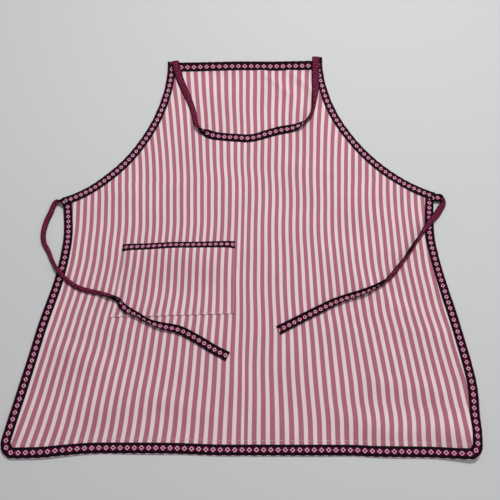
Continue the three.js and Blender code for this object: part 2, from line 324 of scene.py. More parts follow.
# How far the stripes are pulled sideways, at heights above the hem: on the right, the left and in the middle.
# These lists and the next were set from a comparison of the render's stripes with the photograph's.
PULL_RIGHT = [(0, -7), (26, -5), (66, 3.4), (112, 7.6), (186, 8.2), (226, 5.4), (308, 2.0), (450, 0.8)]
PULL_LEFT = [
    (0, 0), (112, -2), (184, -1), (205, 0), (256, 4), (316, 6.2), (360, 6), (420, 2.6), (452, 1), (577, 0),
]
PULL_MIDDLE = [(0, -3.6), (120, -2.6), (190, -1.3), (400, -1.0), (520, -0.3)]
# The same round single places: x, y, how far it spreads each way, and the pull
PULL_SPOTS = [
    (-10, 485, 130, 38, -1.7), (-55, 385, 70, 38, 1.6), (150, 375, 80, 60, -2.1), (190, 580, 40, 40, 2.0),
    (-110, 10, 90, 22, -1.7), (-184, 262, 30, 25, -1.7), (85, 690, 45, 40, -2.6), (190, 190, 50, 50, -0.9),
    (130, 8, 80, 24, -2.2), (255, 6, 75, 26, -3.4), (275, 102, 50, 32, -1.6), (200, 400, 40, 40, -1.4),
    (100, 460, 60, 30, -1.3),
]


def between(y, points):
    """A value that eases from each point's to the next."""
    heights, values = np.array(points, float).T
    place = np.interp(y, heights, np.arange(len(heights)))
    low = np.minimum(place.astype(int), len(heights) - 2)
    return lerp(values[low], values[low + 1], lerp(place - low, smooth(place - low), 0.6))


def stripes(x, y):
    """Which repeat of the stripes a place is in, from the middle. The cloth is pulled askew in places."""
    x, y = np.asarray(x, float), np.asarray(y, float)
    lean = 2.7 + 0.017 * np.maximum(0, 461 - y) + 0.027 * np.maximum(0, y - 461)
    pull = between(y, PULL_RIGHT) * smooth((x - 65) / 230) + between(y, PULL_LEFT) * smooth((-x - 10) / 190)
    pull = pull + between(y, PULL_MIDDLE) * np.exp(-(((x - 28) / 50) ** 2)) * smooth((x + 2) / 9)
    pull = pull + 1.0 * np.exp(-(((x + 14) / 26) ** 2)) * smooth((4 - x) / 9)
    for at_x, at_y, wide, tall, by in PULL_SPOTS:
        pull = pull + by * np.exp(-(((x - at_x) / wide) ** 2) - ((y - at_y) / tall) ** 2)
    askew = 0.5 * np.sin(y / 41 + x / 140) + 0.35 * np.sin(y / 19 + x / 61)
    return (0.983 * (x - pull) + lean + askew) / stripe_repeat(y)


def figure_pitch(y):
    """How long one repeat of the ribbon's figure lies at a height. A real ribbon's is even; this one varies,
    as it came out when the photograph was measured with the camera assumed here."""
    return np.interp(y, [0, 21, 100, 430, 560, 720, 734], [11.15, 10.2, 9.9, 9.4, 11.0, 12.6, 11.8])


# ---- Materials

def linear(colour):
    """An sRGB hex colour as linear light."""
    shares = [int(colour[k:k + 2], 16) / 255 for k in (1, 3, 5)]
    return [s / 12.92 if s <= 0.04045 else ((s + 0.055) / 1.055) ** 2.4 for s in shares] + [1.0]


def add(tree, kind, links, **settings):
    """Adds a node with its settings, and gives its first output. Each link is a value or another output."""
    made = tree.nodes.new("ShaderNode" + kind)
    for name, value in settings.items():
        setattr(made, name, value)
    for name, value in links.items():
        if isinstance(value, bpy.types.NodeSocket):
            tree.links.new(value, made.inputs[name])
        else:
            made.inputs[name].default_value = value
    return made.outputs[0] if made.outputs else None


def start_material(name):
    """An empty material with its tree, and the two coordinates of the piece's own weave."""
    material = bpy.data.materials.new(name)
    material.use_nodes = True
    tree = material.node_tree
    tree.nodes.clear()
    place = add(tree, "UVMap", {}, uv_map="weave")
    parts = add(tree, "SeparateXYZ", {"Vector": place})
    return material, tree, parts.node.outputs["X"], parts.node.outputs["Y"]


def end_material(tree, colour, rough, bump, depth, sheen, specular=0.35):
    normal = add(tree, "Bump", {"Height": bump, "Strength": 1.0, "Distance": depth * 0.001})
    shader = add(tree, "BsdfPrincipled", {
        "Base Color": colour, "Roughness": rough, "Normal": normal, "Sheen Weight": sheen,
        "Sheen Roughness": 0.4, "Specular IOR Level": specular, "IOR": 1.5,
    })
    add(tree, "OutputMaterial", {"Surface": shader})


def striped_cotton():
    """Yarn-dyed cotton twill, woven in stripes and pressed: matt, with fine diagonal ribs, yarns that vary a
    little in colour and thickness along the stripes, and stripe edges as sharp as one yarn."""
    material, tree, repeat, up = start_material("striped_cotton")
    across = add(tree, "Math", {0: repeat, 1: STRIPE_REPEAT}, operation="MULTIPLY")
    along_yarn = add(tree, "Math", {0: up, 1: 0.02}, operation="MULTIPLY")
    yarn_place = add(tree, "CombineXYZ", {"X": across, "Y": along_yarn})
    yarns = add(tree, "TexNoise", {"Vector": yarn_place, "Scale": 1.6, "Detail": 2.0, "Roughness": 0.6})
    cloth_place = add(tree, "CombineXYZ", {"X": across, "Y": up})
    cloud = add(tree, "TexNoise", {"Vector": cloth_place, "Scale": 0.014, "Detail": 3.0, "Roughness": 0.55})
    slub_place = add(tree, "VectorMath", {0: cloth_place, 1: (0.12, 1.4, 1.0)}, operation="MULTIPLY")
    slubs = add(tree, "TexNoise", {"Vector": slub_place, "Scale": 1.0, "Detail": 2.0, "Roughness": 0.7})

    wobble = add(tree, "MapRange", {"Value": slubs, "To Min": -0.012, "To Max": 0.012})
    shifted = add(tree, "Math", {0: add(tree, "Math", {0: repeat, 1: 0.25}, operation="ADD"), 1: wobble},
                  operation="ADD")
    triangle = add(tree, "Math", {0: shifted, 1: 0.5}, operation="PINGPONG")
    pinkness = add(tree, "MapRange", {"Value": triangle, "From Min": 0.208, "From Max": 0.240},
                   interpolation_type="SMOOTHSTEP")
    pink = add(tree, "Mix", {0: yarns, 6: linear("#AA6273"), 7: linear("#BB7687")}, data_type="RGBA")
    white = add(tree, "Mix", {0: yarns, 6: linear("#E6CFD1"), 7: linear("#F3DEE0")}, data_type="RGBA")
    both_yarns = {0: pinkness, 6: white.node.outputs[2], 7: pink.node.outputs[2]}
    stripe = add(tree, "Mix", both_yarns, data_type="RGBA").node.outputs[2]

    # Twill ribs: one every 1.1 mm across the cloth, about twice as coarse as real ones, so that they show.
    diagonal = add(tree, "Math", {0: across, 1: up}, operation="ADD")
    rib_turn = add(tree, "Math", {0: diagonal, 1: 5.7}, operation="MULTIPLY")
    ribs = add(tree, "Math", {0: rib_turn}, operation="SINE")
    pick_turn = add(tree, "Math", {0: up, 1: 9.0}, operation="MULTIPLY")
    picks = add(tree, "Math", {0: pick_turn}, operation="SINE")
    faint_picks = add(tree, "Math", {0: picks, 1: 0.25}, operation="MULTIPLY")
    weave = add(tree, "Math", {0: ribs, 1: 0.5, 2: faint_picks}, operation="MULTIPLY_ADD")
    # Painted shade and highlight: the ribs darken the colour in their grooves and lighten it on their crests.
    shade = add(tree, "MapRange", {"Value": weave, "From Min": -0.75, "From Max": 0.75,
                                   "To Min": 0.965, "To Max": 1.02})
    worn = add(tree, "MapRange", {"Value": cloud, "From Min": 0.3, "From Max": 0.7,
                                  "To Min": 0.95, "To Max": 1.03})
    both = add(tree, "Math", {0: shade, 1: worn}, operation="MULTIPLY")
    grey = add(tree, "CombineColor", {"Red": both, "Green": both, "Blue": both})
    shaded = add(tree, "Mix", {0: 1.0, 6: stripe, 7: grey}, data_type="RGBA", blend_type="MULTIPLY")
    colour = shaded.node.outputs[2]
    rough = add(tree, "MapRange", {"Value": yarns, "To Min": 0.78, "To Max": 0.94})
    bump = add(tree, "Math", {0: weave, 1: 0.6, 2: slubs}, operation="MULTIPLY_ADD")
    end_material(tree, colour, rough, bump, 0.16, 0.05, 0.15)
    return material


# The ribbon's figure: hollow diamonds on a burgundy ground between navy selvedges
DIAMOND_PITCH = 10.6
DIAMOND_HALF_LONG = 3.6
DIAMOND_HALF_WIDE = 3.6
DIAMOND_HOLLOW = 0.58
SELVEDGE = 4.0


def from_middle_of_ribbon(tree, across):
    offset = add(tree, "Math", {0: across, 1: RIBBON_WIDTH / 2}, operation="SUBTRACT")
    return add(tree, "Math", {0: offset}, operation="ABSOLUTE")


def ribbon_face():
    """Jacquard-woven polyester ribbon, its right side: navy selvedges, a burgundy ground and a pale pink figure
    whose outline steps from thread to thread, with dark hearts and crimson round it."""
    material, tree, along, across = start_material("ribbon_face")
    # Threads: one every 0.4 mm, about twice as coarse as real ones, so that the figure's steps show.
    step_u = add(tree, "Math", {0: along, 1: 0.4}, operation="SNAP")
    step_v = add(tree, "Math", {0: across, 1: 0.4}, operation="SNAP")
    from_centre = add(tree, "Math", {0: step_u, 1: DIAMOND_PITCH / 2}, operation="PINGPONG")
    from_middle = from_middle_of_ribbon(tree, step_v)
    long = add(tree, "Math", {0: from_centre, 1: DIAMOND_HALF_LONG}, operation="DIVIDE")
    reach = add(tree, "Math", {0: from_middle, 1: 1 / DIAMOND_HALF_WIDE, 2: long}, operation="MULTIPLY_ADD")
    inside = add(tree, "Math", {0: reach, 1: 1.0}, operation="LESS_THAN")
    hollow = add(tree, "Math", {0: reach, 1: DIAMOND_HOLLOW}, operation="GREATER_THAN")
    figure = add(tree, "Math", {0: inside, 1: hollow}, operation="MULTIPLY")
    halo = add(tree, "Math", {0: reach, 1: 1.5}, operation="LESS_THAN")
    heart = add(tree, "Math", {0: reach, 1: DIAMOND_HOLLOW}, operation="LESS_THAN")
    selvedge = add(tree, "Math", {0: from_middle, 1: RIBBON_WIDTH / 2 - SELVEDGE}, operation="GREATER_THAN")

    float_place = add(tree, "CombineXYZ", {"X": add(tree, "Math", {0: along, 1: 0.5}, operation="MULTIPLY"),
                                           "Y": add(tree, "Math", {0: across, 1: 2.2}, operation="MULTIPLY")})
    floats = add(tree, "TexNoise", {"Vector": float_place, "Scale": 1.0, "Detail": 2.0})
    ground = add(tree, "Mix", {0: floats, 6: linear("#2A0616"), 7: linear("#4C0E2C")}, data_type="RGBA")
    ground = ground.node.outputs[2]
    crimson = add(tree, "Mix", {0: floats, 6: linear("#661034"), 7: linear("#A02350")}, data_type="RGBA")
    lit = add(tree, "Mix", {0: halo, 6: ground, 7: crimson.node.outputs[2]}, data_type="RGBA").node.outputs[2]
    lit = add(tree, "Mix", {0: heart, 6: lit, 7: linear("#1B0412")}, data_type="RGBA").node.outputs[2]
    pale = add(tree, "Mix", {0: floats, 6: linear("#D39BB0"), 7: linear("#F4D8E2")}, data_type="RGBA")
    drawn = add(tree, "Mix", {0: figure, 6: lit, 7: pale.node.outputs[2]}, data_type="RGBA").node.outputs[2]
    navy = add(tree, "Mix", {0: floats, 6: linear("#08030C"), 7: linear("#160A1A")}, data_type="RGBA")
    colour = add(tree, "Mix", {0: selvedge, 6: drawn, 7: navy.node.outputs[2]}, data_type="RGBA").node.outputs[2]

    pick_turn = add(tree, "Math", {0: along, 1: 9.0}, operation="MULTIPLY")
    picks = add(tree, "Math", {0: pick_turn}, operation="SINE")
    raised = add(tree, "Math", {0: figure, 1: 1.2, 2: floats}, operation="MULTIPLY_ADD")
    bump = add(tree, "Math", {0: picks, 1: 0.35, 2: raised}, operation="MULTIPLY_ADD")
    rough = add(tree, "MapRange", {"Value": floats, "To Min": 0.6, "To Max": 0.8})
    end_material(tree, colour, rough, bump, 0.14, 0.0, 0.06)
    return material


def ribbon_reverse():
    """The wrong side of the same ribbon: the figure's threads float loose here, so it is a mottled dark crimson
    with brighter flecks. The floats hide part of the dark selvedges."""
    material, tree, along, across = start_material("ribbon_reverse")
    from_middle = from_middle_of_ribbon(tree, across)
    edge = RIBBON_WIDTH / 2 - 0.45 * SELVEDGE
    selvedge = add(tree, "Math", {0: from_middle, 1: edge}, operation="GREATER_THAN")
    float_place = add(tree, "CombineXYZ", {"X": add(tree, "Math", {0: along, 1: 0.46}, operation="MULTIPLY"),
                                           "Y": add(tree, "Math", {0: across, 1: 0.8}, operation="MULTIPLY")})
    floats = add(tree, "TexNoise", {"Vector": float_place, "Scale": 1.0, "Detail": 2.0, "Roughness": 0.6})
    red = add(tree, "MapRange", {"Value": floats, "From Min": 0.44, "From Max": 0.56})
    mottled = add(tree, "Mix", {0: red, 6: linear("#20040E"), 7: linear("#7C1E42")}, data_type="RGBA")
    mottled = mottled.node.outputs[2]
    fleck = add(tree, "Math", {0: floats, 1: 0.61}, operation="GREATER_THAN")
    flecked = add(tree, "Mix", {0: fleck, 6: mottled, 7: linear("#B04E74")}, data_type="RGBA").node.outputs[2]
    colour = add(tree, "Mix", {0: selvedge, 6: flecked, 7: linear("#14050F")}, data_type="RGBA").node.outputs[2]
    rough = add(tree, "MapRange", {"Value": floats, "To Min": 0.6, "To Max": 0.8})
    end_material(tree, colour, rough, floats, 0.35, 0.0, 0.08)
    return material


def sewing_thread(name, groove_shade, ridge_highlight):
    """Spun polyester thread, two-ply and twisted: slanting ridges along each stitch, with a slight shine, and
    painted shade in the grooves between the plies and a painted highlight on their crests.
    """
    material, tree, along, around = start_material(name)
    twist = add(tree, "Math", {0: along, 1: 9.0, 2: around}, operation="MULTIPLY_ADD")
    ply = add(tree, "Math", {0: twist}, operation="SINE")
    share = add(tree, "MapRange", {"Value": ply, "From Min": -1.0, "From Max": 1.0})
    # Painted shade and highlight: the colour goes darker in the grooves between the plies and lighter on their
    # crests.
    colour = add(tree, "Mix", {0: share, 6: linear(groove_shade), 7: linear(ridge_highlight)}, data_type="RGBA").node.outputs[2]
    rough = add(tree, "MapRange", {"Value": share, "To Min": 0.62, "To Max": 0.48})
    end_material(tree, colour, rough, share, 0.08, 0.05)
    return material


# ---- Meshes

def build(name, points, faces, uvs, materials, slots=None):
    """A smooth mesh object from points in millimetres, with each face corner's place in the weave."""
    mesh = bpy.data.meshes.new(name)
    mesh.from_pydata(to_frame(points).tolist(), [], faces)
    layer = mesh.uv_layers.new(name="weave")
    corners = np.zeros(len(mesh.loops), int)
    mesh.loops.foreach_get("vertex_index", corners)
    layer.data.foreach_set("uv", np.asarray(uvs, np.float32)[corners].ravel())
    for material in materials:
        mesh.materials.append(material)
    if slots is not None:
        mesh.polygons.foreach_set("material_index", slots)
    mesh.shade_smooth()
    mesh.set_sharp_from_angle(angle=math.radians(50))
    mesh.update()
    made = bpy.data.objects.new(name, mesh)
    bpy.context.scene.collection.objects.link(made)
    return made


def plate(name, top, bottom, uv, materials):
    """A closed thin solid between two grids of points. The first material is above and the last one below."""
    rows, columns = top.shape[:2]
    count = rows * columns
    index = np.arange(count).reshape(rows, columns)
    a, b, c, d = index[:-1, :-1], index[1:, :-1], index[1:, 1:], index[:-1, 1:]
    upper = np.stack([a, d, c, b], -1).reshape(-1, 4)
    lower = np.stack([a, b, c, d], -1).reshape(-1, 4) + count
    rim = np.concatenate([index[0, :], index[1:, -1], index[-1, -2::-1], index[-2:0:-1, 0]])
    after = np.roll(rim, -1)
    walls = np.stack([rim, rim + count, after + count, after], -1)
    points = np.concatenate([top.reshape(-1, 3), bottom.reshape(-1, 3)])
    first = Vector(top[1, 0] - top[0, 0]).cross(Vector(top[0, 1] - top[0, 0]))
    above = first.dot(Vector(top[0, 0] - bottom[0, 0])) < 0
    faces = np.concatenate([upper, lower, walls])
    if above:
        faces = faces[:, ::-1]
    slots = [0] * len(upper) + [len(materials) - 1] * len(lower) + [0] * len(walls)
    uvs = np.concatenate([uv.reshape(-1, 2), uv.reshape(-1, 2)])
    return build(name, points, faces.tolist(), uvs, materials, slots)


def finish_piece(piece, body, slot, *nodes):
    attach(piece, body)
    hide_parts(*nodes)
    return piece


def front_panel(cotton):
    """The apron's one piece of cloth, cut out along its outline."""
    edge = outline()
    loop = [(k, (k + 1) % len(edge)) for k in range(len(edge))]
    low, high = edge.min(0), edge.max(0)
    columns = np.arange(low[0], high[0], CLOTH_STEP)
    rows = np.arange(low[1], high[1], CLOTH_STEP)
    inner = np.stack(np.meshgrid(columns, rows), -1).reshape(-1, 2)
    inner = inner[clear_inside(inner, edge, 0.6 * CLOTH_STEP)]
    plan = [Vector(p) for p in np.vstack([edge, inner])]
    made = delaunay_2d_cdt(plan, loop, [], 1, 1e-4)
    points = np.array([tuple(v) for v in made[0]])
    triangles = np.array([f if turns_left(points, f) else f[::-1] for f in made[2]])
    heights = rise(points[:, 0], points[:, 1])
    count = len(points)
    upper = np.column_stack([points, heights])
    lower = np.column_stack([points, heights - CLOTH_THICK])
    rim = [k for k in range(count) if min(made[3][k], default=count) < len(edge)]
    order = sorted(rim, key=lambda k: min(made[3][k]))
    walls = [[b, a, a + count, b + count] for a, b in zip(order, order[1:] + order[:1])]
    if not turns_left(points, order[::max(1, len(order) // 7)]):
        walls = [wall[::-1] for wall in walls]
    faces = triangles.tolist() + (triangles[:, ::-1] + count).tolist() + walls
    uv = np.column_stack([stripes(points[:, 0], points[:, 1]), points[:, 1]])
    return build("cotton_panel", np.vstack([upper, lower]), faces, np.vstack([uv, uv]), [cotton])


def turns_left(points, face):
    """Whether a polygon in plan runs anticlockwise."""
    ring = points[list(face)]
    after = np.roll(ring, -1, axis=0)
    return (ring[:, 0] * after[:, 1] - after[:, 0] * ring[:, 1]).sum() > 0


def clear_inside(places, edge, clear):
    """Which places are inside the edge and at least so far from it."""
    after = np.roll(edge, -1, axis=0)
    inside = np.zeros(len(places), bool)
    nearest = np.full(len(places), 1e9)
    x, y = places.T
    for (ax, ay), (bx, by) in zip(edge, after):
        crosses = (ay > y) != (by > y)
        with np.errstate(divide="ignore", invalid="ignore"):
            inside ^= crosses & (x < ax + (bx - ax) * (y - ay) / (by - ay))
        nearest = np.minimum(nearest, np.hypot(x - ax, y - ay))
    return inside & (nearest > clear)


def ribbon_profile(across):
    """How the ribbon's face stands: bowed up in the middle and pulled down along each of its two seams."""
    inset = SEAM_INSET / RIBBON_WIDTH
    seam = np.exp(-(((across - inset) / 0.05) ** 2)) + np.exp(-(((across - 1 + inset) / 0.05) ** 2))
    return 0.35 * np.sin(math.pi * across) - 0.28 * seam


def figure_along(line):
    """How far along the figure each point of a ribbon's line is."""
    middles = (line[:-1] + line[1:]) / 2
    steps = np.linalg.norm(np.diff(line[:, :2], axis=0), axis=1) * DIAMOND_PITCH / figure_pitch(middles[:, 1])
    return np.concatenate([[0], np.cumsum(steps)])


def sewn_ribbon(name, line, lap, face, reverse):
    """A ribbon sewn on along the cloth's edge, which is the line, to the line's left. lap is how far it is
    lifted where it lies over another ribbon."""
    across = np.linspace(0, 1, 13)
    along = lengths(line)
    side = left_of(line)
    reach = CLOTH_SHOWING + across * RIBBON_WIDTH
    plan = line[:, None, :2] + side[:, None, :] * reach[None, :, None]
    pucker = 0.16 * np.sin(along / 2.1 + 2 * np.sin(along / 37))[:, None] * (0.4 + np.abs(2 * across - 1))
    height = rise(plan[..., 0], plan[..., 1]) + 0.1 + RIBBON_THICK + ribbon_profile(across)
    height = height + pucker + lap[:, None]
    top = np.dstack([plan, height])
    bottom = np.dstack([plan, height - RIBBON_THICK])
    figure = figure_along(plan[:, 6])
    uv = np.dstack([np.broadcast_to(figure[:, None], height.shape),
                    np.broadcast_to(across * RIBBON_WIDTH, height.shape)])
    return plate(name, top, bottom, uv, [face, reverse])


def stitches(name, lines, material):
    """Rows of separate stitches along lines of x, y, z: each rises out of the cloth and goes down again."""
    rings, sides = 7, 6
    share = np.linspace(-1, 1, rings)
    fat = THREAD_WIDE / 2 * np.sqrt(np.maximum(0.12, 1 - share**4))
    bow = 0.28 * (1 - share**2) - 0.12
    turn = np.arange(sides) * 2 * math.pi / sides
    points, faces, uvs = [], [], []
    base = 0
    ring = np.arange(rings * sides).reshape(rings, sides)
    turned = np.roll(ring, -1, 1)
    wall = np.stack([ring[:-1], turned[:-1], turned[1:], ring[1:]], -1).reshape(-1, 4)
    for line in lines:
        line = evenly(line, STITCH_PITCH)
        middle = (line[:-1] + line[1:]) / 2
        way = np.diff(line[:, :2], axis=0)
        way /= np.linalg.norm(way, axis=1)[:, None]
        out = np.column_stack([-way[:, 1], way[:, 0]])
        for m, w, o in zip(middle, way, out):
            centre = np.column_stack([m[:2] + w * (s * STITCH_LENGTH / 2) for s in share]).T
            ringed = centre[:, None, :] + o * (fat[:, None] * np.cos(turn))[..., None]
            height = m[2] + bow[:, None] + fat[:, None] * np.sin(turn)
            points.append(np.dstack([ringed, height]).reshape(-1, 3))
            u = np.broadcast_to((share * STITCH_LENGTH / 2)[:, None], height.shape)
            uvs.append(np.dstack([u, np.broadcast_to(turn, height.shape)]).reshape(-1, 2))
            faces.extend((wall + base).tolist())
            faces.append((ring[0] + base).tolist()[::-1])
            faces.append((ring[-1] + base).tolist())
            base += rings * sides
    return build(name, np.concatenate(points), faces, np.concatenate(uvs), [material])


def seam_on(line, inset, lap, base):
    """A seam along a sewn ribbon's line, so far in from the cloth's edge."""
    plan = line[:, :2] + left_of(line) * inset
    height = rise(plan[:, 0], plan[:, 1]) + lap + base
    return np.column_stack([plan, height])


# ---- The sewn ribbons

def extended(line, by):
    """The line, begun a little before its first point."""
    way = line[0] - line[1]
    return np.vstack([line[0] + way / np.linalg.norm(way) * by, line])


def trim_lines():
    room = CLOTH_SHOWING + RIBBON_WIDTH - SIDE_TRIM_TUCK
    clear = CLOTH_SHOWING + RIBBON_WIDTH + TRIM_END_GAP
    ends = [(BIB_SHIFT + side * (BIB_WIDTH / 2 - clear)) for side in (1, -1)]
    sides = [below(LEFT_SIDE, WAIST_LEFT - room)[::-1], LEFT_CORNER[1:-1], HEM, RIGHT_CORNER[::-1][1:-1],
             below(RIGHT_SIDE, WAIST_RIGHT - room)]
    return {
        "armhole_left": extended(LEFT_ARMHOLE, 1.6)[:-TIE_TAKES_OVER_LEFT],
        "armhole_right": extended(RIGHT_ARMHOLE, 1.6)[:-TIE_TAKES_OVER_RIGHT][::-1],
        "bib_top": np.column_stack([np.linspace(*ends, 120), bib_top(np.linspace(*ends, 120))]),
        "side_and_hem": np.vstack(sides),
    }


TRIM_NODES = {
    "armhole_left": ("armhole_trim_left", "armhole_stitch_left_outer", "armhole_stitch_left_inner"),
    "armhole_right": ("armhole_trim_right", "armhole_stitch_right_outer", "armhole_stitch_right_inner"),
    "bib_top": ("bib_top_trim", "bib_trim_stitch_upper", "bib_trim_stitch_lower"),
    "side_and_hem": ("side_and_hem_trim", "side_hem_stitch_outer", "side_hem_stitch_inner"),
}


def lap_over(name, line):
    """How far a ribbon is lifted along its line: the armholes' lie over the ends of the side ribbon."""
    if not name.startswith("armhole"):
        return np.zeros(len(line))
    from_waist = np.abs(line[:, 0] - max(line[0, 0], line[-1, 0], key=abs))
    return (RIBBON_THICK + 0.25) * smooth((WAIST_LAP_FROM - from_waist) / WAIST_LAP_EASE)


def sewn_ribbons(face, reverse, navy):
    made = []
    for name, line in trim_lines().items():
        line = evenly(line, LINE_STEP)
        lap = lap_over(name, line)
        trim, outer, inner = TRIM_NODES[name]
        ribbon = sewn_ribbon("ribbon_" + name, line, lap, face, reverse)
        made.append(finish_piece(ribbon, "apron", "woven_ribbon", trim))
        on_face = RIBBON_THICK + 0.02
        for seam, node, inset in (("outer", outer, SEAM_INSET), ("inner", inner, RIBBON_WIDTH - SEAM_INSET)):
            row = stitches(f"seam_{name}_{seam}", [seam_on(line, CLOTH_SHOWING + inset, lap, on_face)], navy)
            made.append(finish_piece(row, "apron", "dark_thread", node))
    return made


def hem_seam(pale):
    """The line of pale stitches that holds the turned-up hem, a little above the hem's ribbon."""
    height = CLOTH_SHOWING + RIBBON_WIDTH + HEM_SEAM_ABOVE
    x = np.linspace(*HEM_SEAM_ENDS, 300)
    y = height + np.interp(x, HEM[:, 0], HEM[:, 1])
    line = np.column_stack([x, y, rise(x, y)])
    return finish_piece(stitches("seam_hem_turning", [line], pale), "apron", "pale_thread", "hem_top_stitch")


# ---- The pocket

def pocket_place(across, up):
    left = lerp(POCKET_RIGHT - POCKET_WIDTH, POCKET_RIGHT - POCKET_WIDTH + POCKET_DRAW, up)
    return lerp(left, POCKET_RIGHT, across), POCKET_LOW + POCKET_DEPTH * up + POCKET_SLOPE * across


def pocket_lift(across, up):
    """How far the pocket's cloth stands off the apron: it swells below its mouth, whose ribbon leans back."""
    swell = 0.35 + 0.65 * np.sin(math.pi * np.clip(across, 0, 1)) ** 0.8
    swell = swell * smooth(np.minimum(across, 1 - across) / 0.06)
    ridge = smooth((up - 0.30) / 0.58)
    mouth = smooth((up - 0.86) / 0.17)
    wave = 0.8 * np.sin(across * 15 + 1) * smooth((up - 0.2) / 0.5) * swell
    return 11.5 * swell * (ridge - 0.84 * mouth) + wave + 0.4


def pocket_grid(acrosses, ups, above):
    across, up = np.meshgrid(acrosses, ups)
    x, y = pocket_place(across, up)
    return np.dstack([x, y, rise(x, y) + pocket_lift(across, up) + above])


def pocket(cotton, face, reverse, navy, pale):
    acrosses, ups = np.linspace(0, 1, 65), np.linspace(0, 1, 49)
    edge = np.minimum(np.minimum(*np.meshgrid(acrosses * POCKET_WIDTH, ups * POCKET_DEPTH)),
                      (1 - acrosses) * POCKET_WIDTH)
    turned = 0.5 * smooth((4.5 - edge) / 2)
    top = pocket_grid(acrosses, ups, CLOTH_THICK)
    top[..., 2] += turned
    bottom = pocket_grid(acrosses, ups, 0.0)
    uv = np.dstack([stripes(top[..., 0], top[..., 1]) + 0.16, top[..., 1] + 40])
    panel = plate("pocket_cloth", top, bottom, uv, [cotton])
    finish_piece(panel, "apron", "striped_cotton", "pocket_panel")

    trim_share = POCKET_TRIM_SEEN / POCKET_DEPTH
    across, ups = np.linspace(0, 1, 81), np.linspace(1 - trim_share, 1.004, 13)
    share = (ups - ups[0]) / (ups[-1] - ups[0])
    top = pocket_grid(across, ups, CLOTH_THICK + 0.2 + RIBBON_THICK)
    top[..., 2] += ribbon_profile(share)[:, None]
    bottom = top - (0, 0, RIBBON_THICK)
    figure = figure_along(np.column_stack([top[6, :, 0], top[6, :, 1]]))
    uv = np.dstack(np.meshgrid(figure + 3.0, share * RIBBON_WIDTH))
    trim = plate("pocket_ribbon", top, bottom, uv, [face, reverse])
    finish_piece(trim, "apron", "woven_ribbon", "pocket_trim")

    made = [trim]
    for seam, node, inset in (("upper", "pocket_trim_stitch_upper", SEAM_INSET),
                              ("lower", "pocket_trim_stitch_lower", POCKET_TRIM_SEEN - SEAM_INSET)):
        above = CLOTH_THICK + RIBBON_THICK + 0.25
        line = pocket_grid(np.linspace(0.005, 0.995, 90), [1 - inset / POCKET_DEPTH], above)[0]
        row = stitches("seam_pocket_mouth_" + seam, [line], navy)
        made.append(finish_piece(row, "apron", "dark_thread", node))
    side, low = 2.2 / POCKET_WIDTH, 2.2 / POCKET_DEPTH
    high = 1 - trim_share - 0.01
    legs = [pocket_grid([side], np.linspace(high, low, 30), CLOTH_THICK + 0.5)[:, 0],
            pocket_grid(np.linspace(side, 1 - side, 50), [low], CLOTH_THICK + 0.5)[0],
            pocket_grid([1 - side], np.linspace(low, high, 30), CLOTH_THICK + 0.5)[:, 0]]
    made.append(finish_piece(stitches("seam_pocket", legs, pale), "apron", "pale_thread", "pocket_seam"))
    return panel, made


# ---- The free ribbons

def ground_under(pieces):
    """A tree of the faces of the pieces that the free ribbons lie on, in millimetres."""
    points, faces = [], []
    for piece in pieces:
        base = len(points)
        points.extend(v.co * 1000 + Vector((0, MIDDLE, 0)) for v in piece.data.vertices)
        faces.extend([base + k for k in p.vertices] for p in piece.data.polygons)
    return BVHTree.FromPolygons(points, faces)


def height_at(tree, x, y):
    """How high the top of whatever lies there is. Off the apron that is the floor."""
    hit = tree.ray_cast(Vector((x, y, 60)), Vector((0, 0, -1)))[0]
    return 0.2 if hit is None else hit.z


def section(curl, shares):
    """A ribbon's cross-section, bent round an arc of so many radians: how far each of its points lies along
    its breadth and along its face's direction, and which way the surface faces, in the same two directions."""
    arc = np.where(np.abs(curl) < 0.02, 0.02, curl)[:, None]
    radius = RIBBON_WIDTH / arc
    angle = shares * arc
    return radius * np.sin(angle), radius * (np.cos(angle) - 1), np.sin(angle), np.cos(angle)


def eased(values, reach):
    """The values, each raised to the highest of its neighbours and then averaged with them."""
    for settle in (np.max, np.mean):
        padded = np.pad(values, reach, mode="edge")
        values = settle([padded[k:k + len(values)] for k in range(2 * reach + 1)], axis=0)
    return values


def laid(line, turn, breadth, depth, tree):
    """The heights of a free ribbon's middle line, lying on what is under each part of its section."""
    side = left_of(line)
    heights = []
    for (x, y), (sx, sy), t, row_out, row_up in zip(line[:, :2], side, turn, breadth, depth):
        out = row_out * math.cos(t) - row_up * math.sin(t)
        up = row_out * math.sin(t) + row_up * math.cos(t)
        heights.append(max(height_at(tree, x + sx * o, y + sy * o) - u for o, u in zip(out, up)))
    return eased(np.array(heights) + RIBBON_THICK / 2 + 0.3, 3)


